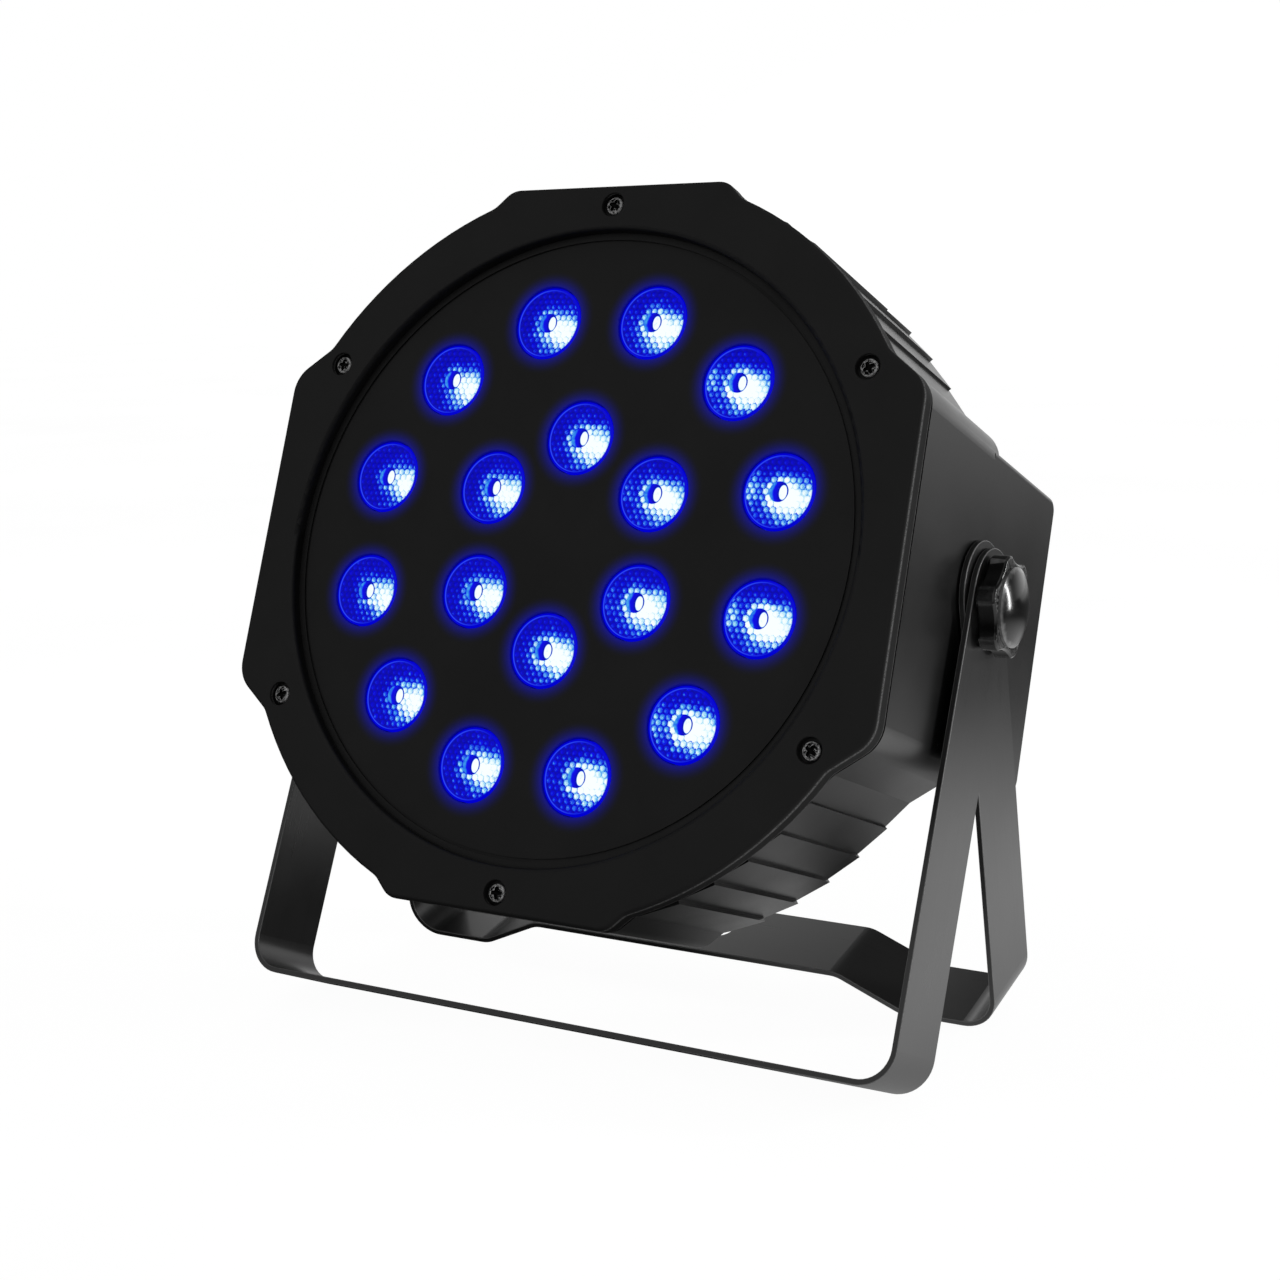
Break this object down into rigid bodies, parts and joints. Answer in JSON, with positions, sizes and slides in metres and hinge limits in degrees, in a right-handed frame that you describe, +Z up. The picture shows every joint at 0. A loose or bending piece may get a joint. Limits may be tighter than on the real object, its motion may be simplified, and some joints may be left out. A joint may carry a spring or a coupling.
{
  "type": "led par light",
  "caption": "Flat round LED par light: lensed LEDs in a moulded head with rear connector panel, hung on two nested steel yoke brackets that clamp with star knobs.",
  "frame": {"origin": "on the floor, at the middle of the overall width and depth, with the light standing on its two splayed brackets", "axes": "+Z up; the lensed face looks toward -Y and up; +X is to the right as seen from the front, along the tilt axis"},
  "size_m": [0.215, 0.1424, 0.2251],
  "materials": {
    "bezel_abs": "fine-textured moulded black",
    "housing_abs": "satin moulded black",
    "plate_black": "matte black",
    "holder_black": "matte black",
    "seal_rubber": "soft black",
    "lead_rubber": "insulated wire",
    "lens_acrylic": "clear moulded acrylic with small beads, lit blue",
    "emitter": "lit blue emitter",
    "board_alu": "white-masked aluminium board",
    "sink_alu": "extruded",
    "screw_steel": "zinc plated",
    "screw_black": "black oxide with worn recess edges",
    "panel_steel": "powder coated black",
    "bracket_steel": "satin black powder coat",
    "tab_steel": "nickel plated",
    "contact_brass": "plated contact",
    "socket_black": "black die-cast shell",
    "inlet_black": "moulded black nylon",
    "fuse_glass": "glass cartridge",
    "fan_plastic": "black moulded",
    "board_green": "solder-masked board",
    "component": "moulded component bodies",
    "display": "segment display",
    "window_clear": "tinted window",
    "button_plastic": "moulded black",
    "shim_nylon": "natural nylon",
    "knob_plastic": "polished black"
  },
  "bodies": {
    "head": {"front_bezel": "bezel_abs", "bezel_seal": "seal_rubber", "lens_plate": "plate_black", "lenses": "lens_acrylic", "lens_holders": "holder_black", "led_emitters": "emitter", "led_board": "board_alu", "heat_sink": "sink_alu", "heat_sink_screws": "screw_steel", "bezel_screws": "screw_black", "rear_housing": "housing_abs", "rear_panel": "panel_steel", "panel_screws": "screw_steel", "dmx_in_socket": "socket_black", "dmx_in_pins": "contact_brass", "dmx_out_socket": "socket_black", "dmx_out_contacts": "contact_brass", "power_inlet": "inlet_black", "power_inlet_pins": "contact_brass", "socket_screws": "screw_black", "threaded_inserts": "contact_brass", "friction_pads": "seal_rubber", "safety_eye": "tab_steel", "fan_frame": "fan_plastic", "fan_screws": "screw_steel", "power_board": "board_green", "power_components": "component", "driver_board": "board_green", "driver_components": "component", "board_standoffs": "tab_steel", "board_screws": "screw_steel", "control_board": "board_green", "display_module": "display", "display_window": "window_clear", "button_switches": "component", "mains_leads": "lead_rubber"},
    "front_bracket": {"front_bracket": "bracket_steel", "bracket_shims": "shim_nylon"},
    "rear_bracket": {"rear_bracket": "bracket_steel"},
    "fan_rotor": {"fan_rotor": "fan_plastic"},
    "dmx_release_tab": {"dmx_release_tab": "tab_steel"},
    "fuse_drawer": {"fuse_drawer": "inlet_black", "fuse": "fuse_glass"},
    "left_knob_washer": {"left_knob_washer": "screw_steel"},
    "left_knob": {"left_knob": "knob_plastic", "left_knob_cap": "knob_plastic", "left_knob_stud": "screw_steel"},
    "right_knob_washer": {"right_knob_washer": "screw_steel"},
    "right_knob": {"right_knob": "knob_plastic", "right_knob_cap": "knob_plastic", "right_knob_stud": "screw_steel"},
    "menu_button": {"menu_button": "button_plastic"},
    "up_button": {"up_button": "button_plastic"},
    "down_button": {"down_button": "button_plastic"},
    "enter_button": {"enter_button": "button_plastic"}
  },
  "joints": [
    {"name": "front_bracket_tilt", "type": "hinge", "parent": "head", "child": "front_bracket", "pos_m": [0, 0.01201, 0.11786], "axis": [1, 0, 0], "range_deg": [-150, 50]},
    {"name": "rear_bracket_tilt", "type": "hinge", "parent": "head", "child": "rear_bracket", "pos_m": [0, 0.01201, 0.11786], "axis": [1, 0, 0], "range_deg": [-45, 150]},
    {"name": "left_knob_travel", "type": "slide", "parent": "head", "child": "left_knob_washer", "axis": [-1, 0, 0], "range_m": [0, 0.002]},
    {"name": "left_knob_turn", "type": "hinge", "parent": "left_knob_washer", "child": "left_knob", "pos_m": [0, 0.01201, 0.11786], "axis": [-1, 0, 0], "range_deg": [0, 721]},
    {"name": "right_knob_travel", "type": "slide", "parent": "head", "child": "right_knob_washer", "axis": [1, 0, 0], "range_m": [0, 0.002]},
    {"name": "right_knob_turn", "type": "hinge", "parent": "right_knob_washer", "child": "right_knob", "pos_m": [0, 0.01201, 0.11786], "axis": [1, 0, 0], "range_deg": [0, 721]},
    {"name": "menu_button_press", "type": "slide", "parent": "head", "child": "menu_button", "axis": [0, -0.9361, 0.3518], "range_m": [0, 0.0005], "stiffness_N_per_m": 500, "springref_m": -0.0006},
    {"name": "up_button_press", "type": "slide", "parent": "head", "child": "up_button", "axis": [0, -0.9361, 0.3518], "range_m": [0, 0.0005], "stiffness_N_per_m": 500, "springref_m": -0.0006},
    {"name": "down_button_press", "type": "slide", "parent": "head", "child": "down_button", "axis": [0, -0.9361, 0.3518], "range_m": [0, 0.0005], "stiffness_N_per_m": 500, "springref_m": -0.0006},
    {"name": "enter_button_press", "type": "slide", "parent": "head", "child": "enter_button", "axis": [0, -0.9361, 0.3518], "range_m": [0, 0.0005], "stiffness_N_per_m": 500, "springref_m": -0.0006},
    {"name": "fan_spin", "type": "hinge", "parent": "head", "child": "fan_rotor", "pos_m": [0, 0.0005, 0.12133], "axis": [0, 0.9361, -0.3518], "continuous": true},
    {"name": "dmx_release_press", "type": "slide", "parent": "head", "child": "dmx_release_tab", "axis": [0, -0.9361, 0.3518], "range_m": [0, 0.0015], "stiffness_N_per_m": 500, "springref_m": -0.001},
    {"name": "fuse_drawer_pull", "type": "slide", "parent": "head", "child": "fuse_drawer", "axis": [0, 0.9361, -0.3518], "range_m": [0, 0.018]}
  ],
  "couplings": [
    {"joint": "left_knob_turn", "follows": "left_knob_travel", "rad_per_m": 6283.2},
    {"joint": "right_knob_turn", "follows": "right_knob_travel", "rad_per_m": 6283.2}
  ]
}
